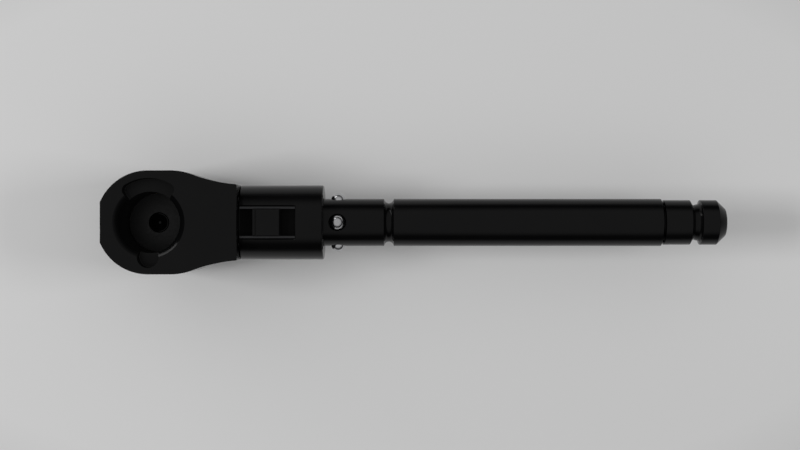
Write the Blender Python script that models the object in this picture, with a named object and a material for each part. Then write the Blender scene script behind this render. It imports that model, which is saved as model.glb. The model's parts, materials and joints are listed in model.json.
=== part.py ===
"""Air ratchet: ratchet head, air motor, reduction gear, control slide, shank and inlet plug.

Metres, +Z up. The origin is the centre of the square drive's end face. The drive turns about Z. The tool
axis runs along +X, from the head to the tail, at the height AXIS_Z.
"""

from math import acos, asin, cos, pi, radians, sin, sqrt

import bmesh
import bpy
from mathutils import Vector

MM = 0.001
GAP = 0.3 * MM
PROUD = 1.0 * MM  # how far a cutter runs past the face that it opens

# Overall layout
HEAD_HALF = 19.4 * MM
DRIVE_PROUD = 14.0 * MM
AXIS_Z = HEAD_HALF + DRIVE_PROUD
TOOL_AXIS = Vector((0, 0, AXIS_Z))

# Head outline, seen along the drive axis
HEAD_R = 22.35 * MM
NOSE_X = -20.9 * MM
NOSE_CENTRE_X = -0.3 * MM
STRAIGHT_END_X = 9.4 * MM
SHOULDER_R = 26.6 * MM
WAIST_X = 18.8 * MM
WAIST_R = 69.6 * MM
HEAD_END_X = 37.9 * MM

# Well in the top of the head
WELL_R = 13.3 * MM
WELL_DEPTH = 27.7 * MM
WELL_MOUTH_R = 15.8 * MM
WELL_MOUTH_DEPTH = 2.5 * MM
LOBE_DEPTH = 5.5 * MM
LOBE_CENTRE_R = 16.2 * MM
LOBE_R = 2.8 * MM
LOBE_ANGLES = (radians(60), radians(121))
NOTCH_Y = -14.8 * MM
NOTCH_R = 4.1 * MM

# Ratchet
YOKE_R = 17.0 * MM
YOKE_TEETH = 72
TOOTH_CREST_R = 14.2 * MM
TOOTH_ROOT_R = 15.0 * MM
COVER_T = 2.7 * MM
WASHER_T = 1.0 * MM
DRIVE_ACROSS_FLATS = 12.7 * MM
DRIVE_CORNER_R = 8.3 * MM
JOURNAL_R = 9.3 * MM
FLANGE_R = 13.0 * MM
BUTTON_R = 4.2 * MM
PAWL_PIN_AT = 9.6 * MM
PAWL_TIP_R = 13.9 * MM
SOCKET_BALL_Z = -27.0 * MM
SOCKET_BALL_R = 2.2 * MM
SOCKET_BALL_PROUD = 0.9 * MM

# Levels inside the head, counted from the tool axis
COVER_JOINT = -HEAD_HALF + COVER_T + GAP
WASHER_TOP = COVER_JOINT + WASHER_T
RING_BOTTOM = WASHER_TOP + GAP
FLANGE_TOP = HEAD_HALF - WELL_DEPTH
RING_TOP = FLANGE_TOP - 1.3 * MM
CAVITY_TOP = RING_TOP + GAP
JOURNAL_END = -HEAD_HALF - 0.5 * MM

# Crank and reduction
CRANK_THROW = 1.3 * MM
CRANK_PIN_X = (23.0 * MM, 28.0 * MM)
GEAR_MODULE = 0.65 * MM
SUN_TEETH = 9
PLANET_TEETH = 9
RING_TEETH = 27
PLANET_COUNT = 3
GEAR_X = (37.2 * MM, 41.2 * MM)

# Motor
MOTOR_R = 10.45 * MM
ROTOR_R = 7.2 * MM
ROTOR_X = (45.2 * MM, 63.2 * MM)
VANES = 5
VANE_T = 1.0 * MM

# Collar and slide
COLLAR_R = 16.4 * MM
COLLAR_END_X = 74.4 * MM
SLOT_END_X = 62.8 * MM
SLOT_HALF = 7.0 * MM
SLOT_MOUTH_HALF = 7.45 * MM
SLOT_FLOOR = 11.75 * MM
SEAL_Z = (11.95 * MM, 12.3 * MM)
SLIDE_X = (44.2 * MM, 56.7 * MM)
SLIDE_Z = (12.55 * MM, 16.0 * MM)
SLIDE_HALF = 5.7 * MM
FOOT_TOP = 13.2 * MM
FOOT_HALF = 6.65 * MM
RAIL_Y = (6.0 * MM, 6.7 * MM)
RAIL_Z = (13.5 * MM, 14.3 * MM)
SCREW_CIRCLE_R = 13.55 * MM

# Shank, balls and inlet
SHANK_R = 10.45 * MM
SHANK_BORE_R = 7.3 * MM
SHANK_X = (66.8 * MM, 223.8 * MM)
BALL_R = 3.175 * MM
BALL_X = 80.7 * MM
BALL_CENTRE_R = 9.7 * MM
GROOVE_X = 103.1 * MM
GROOVE_HALF = 2.1 * MM
GROOVE_DEPTH = 1.9 * MM
PLUG_R = 9.9 * MM
PLUG_END_X = 251.7 * MM
INLET_R = 3.6 * MM


def clear_scene():
    for obj in list(bpy.data.objects):
        bpy.data.objects.remove(obj, do_unlink=True)


def material(name, colour, metallic, roughness):
    mat = bpy.data.materials.new(name)
    mat.use_nodes = True
    shader = mat.node_tree.nodes["Principled BSDF"]
    shader.inputs["Base Color"].default_value = (*colour, 1)
    shader.inputs["Metallic"].default_value = metallic
    shader.inputs["Roughness"].default_value = roughness
    mat.diffuse_color = (*colour, 1)
    return mat


def make_materials():
    return {
        "black": material("gloss_black", (0.012, 0.012, 0.013), 0.2, 0.3),
        "steel": material("bright_steel", (0.55, 0.55, 0.56), 1.0, 0.35),
        "dark_steel": material("dark_steel", (0.10, 0.10, 0.11), 1.0, 0.4),
        "ball": material("polished_ball", (0.75, 0.75, 0.76), 1.0, 0.12),
        "bronze": material("bearing_bronze", (0.45, 0.30, 0.14), 1.0, 0.4),
        "vane": material("vane_composite", (0.20, 0.10, 0.04), 0.0, 0.6),
        "rubber": material("seal_rubber", (0.02, 0.02, 0.02), 0.0, 0.8),
    }


def add_object(name, bm, mat, location=(0, 0, 0)):
    """Turns a bmesh, built about its own origin, into a smooth-shaded object at location."""
    bmesh.ops.remove_doubles(bm, verts=bm.verts, dist=1e-7)
    bmesh.ops.recalc_face_normals(bm, faces=bm.faces)
    mesh = bpy.data.meshes.new(name)
    bm.to_mesh(mesh)
    bm.free()
    mesh.shade_smooth()
    mesh.set_sharp_from_angle(angle=radians(30))
    obj = bpy.data.objects.new(name, mesh)
    obj.location = location
    if mat:
        mesh.materials.append(mat)
    bpy.context.scene.collection.objects.link(obj)
    return obj


def turned(name, profile, mat, axis="X", segments=36, location=TOOL_AXIS):
    """A solid turned from a closed profile of (radius, place along axis) points."""
    bm = bmesh.new()
    along_x = axis == "X"
    ring = [bm.verts.new((along, 0, r) if along_x else (r, 0, along)) for r, along in profile]
    edges = [bm.edges.new((a, b)) for a, b in zip(ring, ring[1:] + ring[:1])]
    bmesh.ops.spin(
        bm,
        geom=ring + edges,
        cent=(0, 0, 0),
        axis=(1, 0, 0) if along_x else (0, 0, 1),
        angle=2 * pi,
        steps=segments,
        use_merge=True,
    )
    bmesh.ops.remove_doubles(bm, verts=bm.verts, dist=1e-7)
    bmesh.ops.dissolve_degenerate(bm, edges=bm.edges, dist=1e-7)
    return add_object(name, bm, mat, location)


def rod_profile(radius, low, high):
    """The profile of a plain round cutter or pin."""
    return [(0, low), (radius, low), (radius, high), (0, high)]


def ring_profile(inner, outer, low, high):
    return [(inner, low), (outer, low), (outer, high), (inner, high)]


def hexagon(radius):
    return arc((0, 0), radius, 0, 2 * pi * 5 / 6, 5)


def lofted(name, rings, mat, location=(0, 0, 0)):
    """A solid whose section runs through rings of points, with a cap at each end."""
    bm = bmesh.new()
    loops = [[bm.verts.new(point) for point in ring] for ring in rings]
    for lower, upper in zip(loops, loops[1:]):
        for i in range(len(lower)):
            j = (i + 1) % len(lower)
            bm.faces.new((lower[i], lower[j], upper[j], upper[i]))
    bm.faces.new(loops[0])
    bm.faces.new(loops[-1])
    return add_object(name, bm, mat, location)


def extruded(name, outline, low, high, mat, axis="Z", location=(0, 0, 0)):
    """Extrudes a 2-D outline: (x, y) points along Z, (y, z) points along X or (x, z) points along Y."""
    places = {
        "Z": lambda a, b, c: (a, b, c),
        "X": lambda a, b, c: (c, a, b),
        "Y": lambda a, b, c: (a, c, b),
    }
    rings = [[places[axis](a, b, level) for a, b in outline] for level in (low, high)]
    return lofted(name, rings, mat, location)


def cut(obj, *cutters, operation="DIFFERENCE"):
    for cutter in cutters:
        cutter.hide_render = True
        cutter.display_type = "WIRE"
        modifier = obj.modifiers.new(cutter.name, "BOOLEAN")
        modifier.operation = operation
        modifier.solver = "EXACT"
        modifier.object = cutter
    return obj


def arc(centre, radius, start, end, steps):
    return [
        (
            centre[0] + radius * cos(start + (end - start) * i / steps),
            centre[1] + radius * sin(start + (end - start) * i / steps),
        )
        for i in range(steps + 1)
    ]


def box_outline(low, high):
    return [(low[0], low[1]), (high[0], low[1]), (high[0], high[1]), (low[0], high[1])]


def rotated(outline, angle):
    return [(x * cos(angle) - y * sin(angle), x * sin(angle) + y * cos(angle)) for x, y in outline]


def polar(radius, angle):
    return (radius * cos(angle), radius * sin(angle))


def head_outline():
    """Nose flat, round nose, short straight sides, then an ogee down to the neck."""
    nose_angle = acos((NOSE_CENTRE_X - NOSE_X) / HEAD_R)
    upper = arc((NOSE_CENTRE_X, 0), HEAD_R, pi - nose_angle, pi / 2, 9)
    shoulder = asin((WAIST_X - STRAIGHT_END_X) / SHOULDER_R)
    convex_centre = (STRAIGHT_END_X, HEAD_R - SHOULDER_R)
    upper += arc(convex_centre, SHOULDER_R, pi / 2, pi / 2 - shoulder, 4)
    waist_y = convex_centre[1] + SHOULDER_R * cos(shoulder)
    end_angle = asin(sin(shoulder) - (HEAD_END_X - WAIST_X) / WAIST_R)
    concave_centre = (WAIST_X + WAIST_R * sin(shoulder), waist_y + WAIST_R * cos(shoulder))
    upper += arc(concave_centre, WAIST_R, -pi / 2 - shoulder, -pi / 2 - end_angle, 3)[1:]
    return upper + [(x, -y) for x, y in reversed(upper)]


def cover_screw_places():
    front = [polar(19.6 * MM, radians(angle)) for angle in (135, -135)]
    return front + [(17.5 * MM, 15.5 * MM), (17.5 * MM, -15.5 * MM)]


def lobe_outline():
    """A crescent beside the well, open towards it, with round ends."""
    start, end = LOBE_ANGLES
    lobe = arc((0, 0), LOBE_CENTRE_R + LOBE_R, start, end, 8)
    lobe += arc(polar(LOBE_CENTRE_R, end), LOBE_R, end, end + pi, 6)[1:]
    lobe += arc((0, 0), WELL_R - PROUD, end, start, 4)
    lobe += arc(polar(LOBE_CENTRE_R, start), LOBE_R, start - pi, start, 6)[:-1]
    return lobe


def make_head(mats):
    """Housing above, cover below; z is counted from the tool axis."""
    housing = extruded(
        "head_housing", head_outline(), COVER_JOINT, HEAD_HALF, mats["black"], location=TOOL_AXIS
    )
    well = [
        (0, HEAD_HALF + PROUD),
        (WELL_MOUTH_R + PROUD, HEAD_HALF + PROUD),
        (WELL_R, HEAD_HALF - WELL_MOUTH_DEPTH),
        (WELL_R, CAVITY_TOP),
        (YOKE_R + GAP, CAVITY_TOP),
        (YOKE_R + GAP, COVER_JOINT - PROUD),
        (0, COVER_JOINT - PROUD),
    ]
    notch = arc((0, NOTCH_Y), NOTCH_R, 0, 2 * pi * 19 / 20, 19)
    ledge = (HEAD_HALF - LOBE_DEPTH, HEAD_HALF + PROUD)
    crank_room = [
        (0, 17.0 * MM),
        (12.0 * MM, 17.0 * MM),
        (12.0 * MM, 29.6 * MM),
        (7.0 * MM, 29.6 * MM),
        (7.0 * MM, 30.0 * MM),
        (8.3 * MM, 30.0 * MM),
        (8.3 * MM, 34.6 * MM),
        (MOTOR_R + GAP, 34.6 * MM),
        (MOTOR_R + GAP, HEAD_END_X + PROUD),
        (0, HEAD_END_X + PROUD),
    ]
    arm_room = box_outline((8 * MM, -9.6 * MM), (28.6 * MM, 9.6 * MM))
    fork_room = box_outline((17 * MM, -9.6 * MM), (28.6 * MM, 9.6 * MM))
    below = COVER_JOINT - PROUD
    cut(
        housing,
        turned("cut_well", well, None, axis="Z"),
        extruded("cut_lobe", lobe_outline(), *ledge, None, location=TOOL_AXIS),
        extruded("cut_notch", notch, *ledge, None, location=TOOL_AXIS),
        turned("cut_crank_room", crank_room, None),
        extruded("cut_arm_room", arm_room, below, CAVITY_TOP, None, location=TOOL_AXIS),
        extruded("cut_fork_room", fork_room, below, 0, None, location=TOOL_AXIS),
    )
    cover = extruded(
        "bottom_cover", head_outline(), -HEAD_HALF, COVER_JOINT - GAP, mats["black"], location=TOOL_AXIS
    )
    anvil_hole = rod_profile(JOURNAL_R + GAP, -HEAD_HALF - PROUD, COVER_JOINT + PROUD)
    cut(cover, turned("cut_cover_hole", anvil_hole, None, axis="Z", segments=32))
    add_cover_screws(housing, cover, mats)


def add_cover_screws(housing, cover, mats):
    bottom = -HEAD_HALF
    for number, (x, y) in enumerate(cover_screw_places(), 1):
        place = TOOL_AXIS + Vector((x, y, 0))
        hole = [
            (0, bottom - 0.4 * MM),
            (2.5 * MM, bottom - 0.4 * MM),
            (2.1 * MM, bottom),
            (1.3 * MM, bottom + 0.9 * MM),
            (1.3 * MM, bottom + 9.5 * MM),
            (0, bottom + 9.5 * MM),
        ]
        cutter = turned(f"cut_cover_screw_{number}", hole, None, axis="Z", segments=12, location=place)
        cut(cover, cutter)
        cut(housing, cutter)
        shape = [
            (0, bottom + 0.1 * MM),
            (1.75 * MM, bottom + 0.1 * MM),
            (1.0 * MM, bottom + 0.95 * MM),
            (1.0 * MM, bottom + 9.0 * MM),
            (0, bottom + 9.0 * MM),
        ]
        screw = turned(f"cover_screw_{number}", shape, mats["dark_steel"], "Z", 12, place)
        name = f"cut_cover_socket_{number}"
        depth = (bottom - PROUD, bottom + 0.8 * MM)
        cut(screw, extruded(name, hexagon(0.75 * MM), *depth, None, location=place))


def square_outline(across, corner_r):
    """A square with its corners turned down to corner_r, as eight points."""
    half = across / 2
    flat = sqrt(corner_r**2 - half**2)
    side = [(half, -flat), (half, flat)]
    return [point for turn in range(4) for point in rotated(side, turn * pi / 2)]


def make_anvil(mats):
    bottom = -AXIS_Z
    core = [
        (0, FLANGE_TOP),
        (FLANGE_R, FLANGE_TOP),
        (FLANGE_R, FLANGE_TOP - 1.0 * MM),
        (6.5 * MM, FLANGE_TOP - 1.0 * MM),
        (6.5 * MM, RING_BOTTOM + 1.0 * MM),
        (FLANGE_R, RING_BOTTOM + 1.0 * MM),
        (FLANGE_R, RING_BOTTOM),
        (JOURNAL_R, RING_BOTTOM),
        (JOURNAL_R, JOURNAL_END),
        (0, JOURNAL_END),
    ]
    anvil = turned("drive_anvil", core, mats["black"], axis="Z", segments=32)
    shank = square_outline(DRIVE_ACROSS_FLATS, DRIVE_CORNER_R)
    tip = square_outline(DRIVE_ACROSS_FLATS - 1.2 * MM, DRIVE_CORNER_R - 0.6 * MM)
    rings = [
        [(x, y, bottom) for x, y in tip],
        [(x, y, bottom + 0.8 * MM) for x, y in shank],
        [(x, y, JOURNAL_END + 2 * MM) for x, y in shank],
    ]
    square = lofted("add_square", rings, None, TOOL_AXIS)
    cut(anvil, square, operation="UNION")
    bore = [
        (0, FLANGE_TOP + PROUD),
        (4.5 * MM, FLANGE_TOP + PROUD),
        (4.5 * MM, -16.4 * MM),
        (2.6 * MM, -16.4 * MM),
        (2.6 * MM, bottom + 2.4 * MM),
        (0, bottom + 2.4 * MM),
    ]
    ball_hole = rod_profile(2.35 * MM, 1.5 * MM, 9 * MM)
    level = TOOL_AXIS + Vector((0, 0, SOCKET_BALL_Z))
    cut(
        anvil,
        turned("cut_anvil_bore", bore, None, axis="Z", segments=24),
        turned("cut_ball_hole", ball_hole, None, segments=16, location=level),
    )
    for number, angle in enumerate((0, pi), 1):
        place = TOOL_AXIS + Vector((*polar(PAWL_PIN_AT, angle), 0))
        hole = rod_profile(1.3 * MM, RING_BOTTOM - PROUD, FLANGE_TOP - 0.45 * MM)
        cut(anvil, turned(f"cut_pawl_pin_{number}", hole, None, axis="Z", segments=12, location=place))


def make_ball(name, radius, place, mat):
    bm = bmesh.new()
    bmesh.ops.create_uvsphere(bm, u_segments=12, v_segments=8, radius=radius)
    return add_object(name, bm, mat, place)


def make_release(mats):
    """Quick-release button down the middle of the anvil, its spring, and the ball that it holds out."""
    neck = SOCKET_BALL_Z + 2.0 * MM
    button = [
        (0, FLANGE_TOP - 3.1 * MM),
        (0.5 * MM, FLANGE_TOP - 3.1 * MM),
        (3.8 * MM, FLANGE_TOP - 0.5 * MM),
        (BUTTON_R, FLANGE_TOP - 0.8 * MM),
        (BUTTON_R, FLANGE_TOP - 3.7 * MM),
        (2.2 * MM, FLANGE_TOP - 3.7 * MM),
        (2.2 * MM, neck + 1.4 * MM),
        (1.4 * MM, neck + 1.2 * MM),
        (1.4 * MM, neck - 1.2 * MM),
        (2.2 * MM, neck - 1.4 * MM),
        (2.2 * MM, -28.6 * MM),
        (0, -28.6 * MM),
    ]
    turned("release_button", button, mats["dark_steel"], axis="Z", segments=20)
    coil(
        "button_spring",
        TOOL_AXIS + Vector((0, 0, -16.0 * MM)),
        (0, 0, 1),
        length=3.6 * MM,
        radius=3.3 * MM,
        wire=0.35 * MM,
        turns=3,
        mat=mats["steel"],
    )
    ball_x = DRIVE_ACROSS_FLATS / 2 + SOCKET_BALL_PROUD - SOCKET_BALL_R
    place = TOOL_AXIS + Vector((ball_x, 0, SOCKET_BALL_Z))
    make_ball("socket_detent_ball", SOCKET_BALL_R, place, mats["ball"])


def coil(name, start, direction, length, radius, wire, turns, mat):
    """A helical spring from start along direction; length counts the coil's middle line."""
    steps = 8
    count = turns * steps
    curve = bpy.data.curves.new(name, "CURVE")
    curve.dimensions = "3D"
    curve.bevel_depth = wire
    curve.bevel_resolution = 0
    curve.use_fill_caps = True
    spline = curve.splines.new("POLY")
    spline.points.add(count)
    turn = Vector((0, 0, 1)).rotation_difference(Vector(direction)).to_matrix()
    for i, point in enumerate(spline.points):
        angle = 2 * pi * i / steps
        local = Vector((radius * cos(angle), radius * sin(angle), length * i / count))
        point.co = (*(turn @ local), 1)
    curve.materials.append(mat)
    obj = bpy.data.objects.new(name, curve)
    obj.location = start
    bpy.context.scene.collection.objects.link(obj)
    return obj


def pawl_outline():
    """Round pivot end about the pin, and a toothed tip that sweeps round the drive axis."""
    pin = (PAWL_PIN_AT, 0)
    outline = arc(pin, 2.5 * MM, radians(-160), radians(10), 8)
    tip_start, tip_end = radians(36), radians(58)
    outline.append(polar(12.6 * MM, radians(26)))
    pitch = 2 * pi / YOKE_TEETH
    angle = tip_start
    while angle < tip_end - pitch / 2:
        outline.append(polar(PAWL_TIP_R - 0.7 * MM, angle))
        outline.append(polar(PAWL_TIP_R, angle + pitch * 0.75))
        angle += pitch
    outline.append(polar(PAWL_TIP_R - 0.7 * MM, tip_end))
    outline += arc((0, 0), 10.2 * MM, tip_end, radians(24), 6)
    outline.append(polar(8.1 * MM, radians(14)))
    return outline


def make_pawls(mats):
    low, high = RING_BOTTOM + 1.3 * MM, FLANGE_TOP - 1.3 * MM
    pin_hole = rod_profile(1.25 * MM, low - PROUD, high + PROUD)
    pin_shape = rod_profile(0.95 * MM, RING_BOTTOM + 0.1 * MM, FLANGE_TOP - 0.7 * MM)
    for number, angle in enumerate((0, pi), 1):
        place = TOOL_AXIS + Vector((*polar(PAWL_PIN_AT, angle), 0))
        outline = [(x - place.x, y - place.y) for x, y in rotated(pawl_outline(), angle)]
        pawl = extruded(f"pawl_{number}", outline, low, high, mats["steel"], location=place)
        cut(pawl, turned(f"cut_pawl_{number}", pin_hole, None, axis="Z", segments=12, location=place))
        turned(f"pawl_pin_{number}", pin_shape, mats["steel"], axis="Z", segments=12, location=place)
        push = angle + radians(46)
        coil(
            f"pawl_spring_{number}",
            TOOL_AXIS + Vector((*polar(6.95 * MM, push), (low + high) / 2)),
            (cos(push), sin(push), 0),
            length=2.75 * MM,
            radius=1.2 * MM,
            wire=0.2 * MM,
            turns=3,
            mat=mats["steel"],
        )


def make_yoke(mats):
    body = arc((0, 0), YOKE_R, radians(22.5), radians(337.5), 28)
    body += [(21.5 * MM, -6.5 * MM), (23 * MM, -8 * MM), (28 * MM, -8 * MM)]
    body += [(28 * MM, 8 * MM), (23 * MM, 8 * MM), (21.5 * MM, 6.5 * MM)]
    yoke = extruded("ratchet_yoke", body, RING_BOTTOM, RING_TOP, mats["steel"], location=TOOL_AXIS)
    teeth = []
    for i in range(YOKE_TEETH):
        angle = 2 * pi * i / YOKE_TEETH
        teeth.append(polar(TOOTH_CREST_R, angle))
        teeth.append(polar(TOOTH_ROOT_R, angle + pi / YOKE_TEETH))
    depth = (RING_BOTTOM - PROUD, RING_TOP + PROUD)
    cut(yoke, extruded("cut_yoke_teeth", teeth, *depth, None, location=TOOL_AXIS))
    prong = box_outline((23.0 * MM, 5.4 * MM), (28 * MM, 8 * MM))
    prong_z = (RING_BOTTOM + MM, 5.5 * MM)
    for number, side in enumerate((1, -1), 1):
        shape = [(x, y * side) for x, y in prong]
        piece = extruded(f"add_prong_{number}", shape, *prong_z, None, location=TOOL_AXIS)
        cut(yoke, piece, operation="UNION")
    block = box_outline((23.0 * MM, -6.0 * MM), (28 * MM, 6.0 * MM))
    bridge = extruded("add_fork_base", block, RING_TOP - MM, -5.0 * MM, None, location=TOOL_AXIS)
    cut(yoke, bridge, operation="UNION")
    washer = ring_profile(JOURNAL_R + GAP, YOKE_R, COVER_JOINT, WASHER_TOP)
    turned("thrust_washer", washer, mats["bronze"], axis="Z", segments=24)


def gear_outline(teeth, addendum, dedendum, width, phase):
    """Straight-flanked teeth: width is the tooth's share of the pitch at the pitch circle."""
    pitch_r = GEAR_MODULE * teeth / 2
    share = 2 * pi / teeth * width
    points = []
    for i in range(teeth):
        middle = phase + 2 * pi * i / teeth
        root, tip = pitch_r - dedendum * GEAR_MODULE, pitch_r + addendum * GEAR_MODULE
        half_root, half_tip = share * 0.72, share * 0.26
        points += [polar(root, middle - half_root), polar(tip, middle - half_tip)]
        points += [polar(tip, middle + half_tip), polar(root, middle + half_root)]
    return points


def planet_angles():
    return [pi / 2 + 2 * pi * i / PLANET_COUNT for i in range(PLANET_COUNT)]


def planet_centre_r():
    return GEAR_MODULE * (SUN_TEETH + PLANET_TEETH) / 2


def make_crank(mats):
    """Crank pin, web, journal and planet carrier in one piece, with its bushing and bearing."""
    shaft = [
        (0, 28.8 * MM),
        (5.0 * MM, 28.8 * MM),
        (5.0 * MM, 30.0 * MM),
        (4.0 * MM, 30.0 * MM),
        (4.0 * MM, 34.9 * MM),
        (9.0 * MM, 34.9 * MM),
        (9.0 * MM, 36.9 * MM),
        (0, 36.9 * MM),
    ]
    crank = turned("crankshaft", shaft, mats["steel"], segments=28)
    low, high = CRANK_PIN_X
    throw = TOOL_AXIS + Vector((0, 0, CRANK_THROW))
    pin = rod_profile(1.7 * MM, low, 29.4 * MM)
    cut(crank, turned("add_crank_pin", pin, None, segments=16, location=throw), operation="UNION")
    for number, angle in enumerate(planet_angles(), 1):
        y, z = polar(planet_centre_r(), angle)
        place = TOOL_AXIS + Vector((0, y, z))
        stud = rod_profile(0.85 * MM, 36.0 * MM, 41.4 * MM)
        pin = turned(f"add_planet_pin_{number}", stud, None, segments=12, location=place)
        cut(crank, pin, operation="UNION")
    bushing = ring_profile(1.9 * MM, 2.6 * MM, low + 0.2 * MM, high)
    turned("crank_bushing", bushing, mats["bronze"], segments=20, location=throw)
    bearing = ring_profile(4.3 * MM, 8.0 * MM, 30.3 * MM, 34.3 * MM)
    turned("crank_bearing", bearing, mats["bronze"], segments=24)


def make_gears(mats):
    low, high = GEAR_X
    for number, angle in enumerate(planet_angles(), 1):
        y, z = polar(planet_centre_r(), angle)
        place = TOOL_AXIS + Vector((0, y, z))
        outline = gear_outline(PLANET_TEETH, 0.7, 1.05, 0.42, angle)
        gear = extruded(f"planet_gear_{number}", outline, low, high, mats["steel"], "X", place)
        bore = rod_profile(1.05 * MM, low - PROUD, high + PROUD)
        cut(gear, turned(f"cut_planet_{number}", bore, None, segments=12, location=place))
    ring = ring_profile(7.5 * MM, MOTOR_R, low, 41.6 * MM)
    ring_gear = turned("ring_gear", ring, mats["steel"])
    space_phase = planet_angles()[0]
    spaces = gear_outline(RING_TEETH, 1.0, 0.65, 0.62, space_phase)
    cut(ring_gear, extruded("cut_ring_teeth", spaces, low - PROUD, 42.6 * MM, None, "X", TOOL_AXIS))


def make_motor(mats):
    low, high = ROTOR_X
    body = [
        (0, 41.4 * MM),
        (2.2 * MM, 41.4 * MM),
        (2.2 * MM, low),
        (ROTOR_R, low),
        (ROTOR_R, high),
        (2.2 * MM, high),
        (2.2 * MM, 66.4 * MM),
        (0, 66.4 * MM),
    ]
    rotor = turned("motor_rotor", body, mats["steel"], segments=30)
    sun = gear_outline(SUN_TEETH, 0.7, 1.05, 0.42, planet_angles()[0])
    pinion = extruded("add_sun_pinion", sun, GEAR_X[0], 41.8 * MM, None, "X", TOOL_AXIS)
    cut(rotor, pinion, operation="UNION")
    half = VANE_T / 2
    slot_half = half + 0.25 * MM
    slot_outline = box_outline((3.4 * MM, -slot_half), (9.0 * MM, slot_half))
    blade_outline = box_outline((3.7 * MM, -half), (7.05 * MM, half))
    slot_x = (low - PROUD, high + PROUD)
    blade_x = (low + 0.2 * MM, high - 0.2 * MM)
    for number in range(1, VANES + 1):
        angle = pi / 2 + 2 * pi * (number - 1) / VANES
        slot = rotated(slot_outline, angle)
        cut(rotor, extruded(f"cut_vane_slot_{number}", slot, *slot_x, None, "X", TOOL_AXIS))
        blade = rotated(blade_outline, angle)
        extruded(f"rotor_vane_{number}", blade, *blade_x, mats["vane"], "X", TOOL_AXIS)
    cylinder = turned("motor_cylinder", rod_profile(MOTOR_R, low, high), mats["dark_steel"], segments=32)
    chamber = rod_profile(8.2 * MM, low - PROUD, high + PROUD)
    offset = TOOL_AXIS + Vector((0, 0, -0.75 * MM))
    cut(cylinder, turned("cut_chamber", chamber, None, segments=32, location=offset))
    cut(cylinder, *exhaust_cutters("cylinder", 50.5 * MM, 60.0 * MM, 5 * MM, 0.9 * MM))
    for side, (start, end) in {"front": (41.9, 44.9), "rear": (63.5, 66.5)}.items():
        plate = ring_profile(5.3 * MM, MOTOR_R, start * MM, end * MM)
        turned(f"{side}_end_plate", plate, mats["dark_steel"], segments=24)
        race = ring_profile(2.5 * MM, 5.0 * MM, start * MM + GAP, end * MM - GAP)
        turned(f"{side}_bearing", race, mats["steel"], segments=20)


def exhaust_cutters(name, start, end, inner, half):
    """Three slots through the underside, along the tool axis."""
    cutters = []
    for number, angle in enumerate((-112, -90, -68), 1):
        section = rotated(box_outline((inner, -half), (20 * MM, half)), radians(angle))
        name_here = f"cut_{name}_exhaust_{number}"
        cutters.append(extruded(name_here, section, start, end, None, "X", TOOL_AXIS))
    return cutters


def make_collar(mats):
    front = HEAD_END_X + GAP
    ring = [
        (MOTOR_R + GAP, front),
        (COLLAR_R, front),
        (COLLAR_R, COLLAR_END_X - 0.6 * MM),
        (COLLAR_R - 0.6 * MM, COLLAR_END_X),
        (MOTOR_R + GAP, COLLAR_END_X),
    ]
    collar = turned("collar", ring, mats["black"], segments=40)
    chamfer_z = sqrt(COLLAR_R**2 - SLOT_MOUTH_HALF**2) - (SLOT_MOUTH_HALF - SLOT_HALF)
    rise = COLLAR_R + PROUD - chamfer_z
    right = [(SLOT_HALF, SLOT_FLOOR), (SLOT_HALF, chamfer_z), (SLOT_HALF + rise, chamfer_z + rise)]
    slot = right + [(-y, z) for y, z in reversed(right)]
    scoop_r = 5.0 * MM
    scoop_centre = (64.65 * MM, COLLAR_R + scoop_r - 0.45 * MM)
    scoop = arc(scoop_centre, scoop_r, 0, 2 * pi * 31 / 32, 31)
    cut(
        collar,
        extruded("cut_slot", slot, front - PROUD, SLOT_END_X, None, "X", TOOL_AXIS),
        extruded("cut_scoop", scoop, -4.2 * MM, 4.2 * MM, None, "Y", TOOL_AXIS),
        *exhaust_cutters("collar", 49 * MM, 61 * MM, 8 * MM, 1.1 * MM),
    )
    add_body_screws(collar, mats)
    make_slot_lining(front + GAP, SLOT_END_X - GAP, mats)


def make_slot_lining(start, end, mats):
    """The seal under the slide, and the rail on each side that holds the slide's foot down."""
    seal = box_outline((-RAIL_Y[1], SEAL_Z[0]), (RAIL_Y[1], SEAL_Z[1]))
    extruded("slide_seal", seal, start, end, mats["rubber"], "X", TOOL_AXIS)
    for number, side in enumerate((1, -1), 1):
        section = box_outline((RAIL_Y[0] * side, RAIL_Z[0]), (RAIL_Y[1] * side, RAIL_Z[1]))
        extruded(f"slide_rail_{number}", section, start, end, mats["dark_steel"], "X", TOOL_AXIS)


def add_body_screws(collar, mats):
    housing = bpy.data.objects["head_housing"]
    end = COLLAR_END_X
    for number in range(1, 5):
        angle = pi / 4 + (number - 1) * pi / 2
        y, z = polar(SCREW_CIRCLE_R, angle)
        place = TOOL_AXIS + Vector((0, y, z))
        hole = [
            (0, 31.0 * MM),
            (1.5 * MM, 31.0 * MM),
            (1.5 * MM, end - 3.4 * MM),
            (2.4 * MM, end - 3.4 * MM),
            (2.4 * MM, end + PROUD),
            (0, end + PROUD),
        ]
        cutter = turned(f"cut_body_screw_{number}", hole, None, segments=12, location=place)
        cut(collar, cutter)
        cut(housing, cutter)
        shape = [
            (0, 31.6 * MM),
            (1.2 * MM, 31.6 * MM),
            (1.2 * MM, end - 3.0 * MM),
            (2.1 * MM, end - 3.0 * MM),
            (2.1 * MM, end - 0.4 * MM),
            (0, end - 0.4 * MM),
        ]
        screw = turned(f"body_screw_{number}", shape, mats["dark_steel"], segments=12, location=place)
        name = f"cut_body_socket_{number}"
        depth = (end - 1.8 * MM, end + PROUD)
        cut(screw, extruded(name, hexagon(1.15 * MM), *depth, None, "X", place))


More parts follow.
